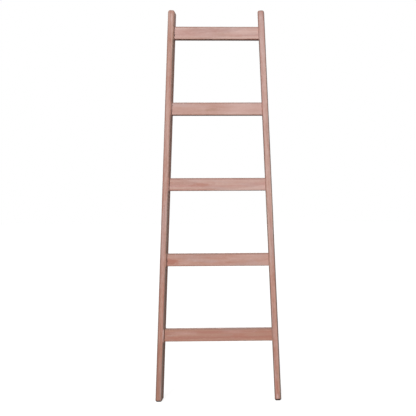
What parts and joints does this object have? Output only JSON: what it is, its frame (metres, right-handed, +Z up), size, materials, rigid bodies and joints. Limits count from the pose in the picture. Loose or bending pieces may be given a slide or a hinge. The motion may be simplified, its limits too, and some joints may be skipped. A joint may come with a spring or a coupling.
{
  "type": "blanket ladder",
  "caption": "Tall wooden blanket ladder with splayed side rails, rounded tips and evenly spaced flat rungs for hanging throws, joined by hidden dowels.",
  "frame": {"origin": "on the floor, midway between the two feet and midway through their depth", "axes": "+Z up, +Y back towards the wall, +X to the viewer's right when the front is looked at"},
  "size_m": [0.5154, 0.04, 1.5996],
  "materials": {
    "stile_wood": "limed, matt",
    "rung_wood": "limed, matt",
    "dowel_wood": "bare beech"
  },
  "bodies": {
    "root": {"left_stile": "stile_wood", "right_stile": "stile_wood", "bottom_rung": "rung_wood", "lower_rung": "rung_wood", "middle_rung": "rung_wood", "upper_rung": "rung_wood", "top_rung": "rung_wood", "bottom_rung_left_dowels": "dowel_wood", "bottom_rung_right_dowels": "dowel_wood", "lower_rung_left_dowels": "dowel_wood", "lower_rung_right_dowels": "dowel_wood", "middle_rung_left_dowels": "dowel_wood", "middle_rung_right_dowels": "dowel_wood", "upper_rung_left_dowels": "dowel_wood", "upper_rung_right_dowels": "dowel_wood", "top_rung_left_dowels": "dowel_wood", "top_rung_right_dowels": "dowel_wood"}
  },
  "joints": []
}
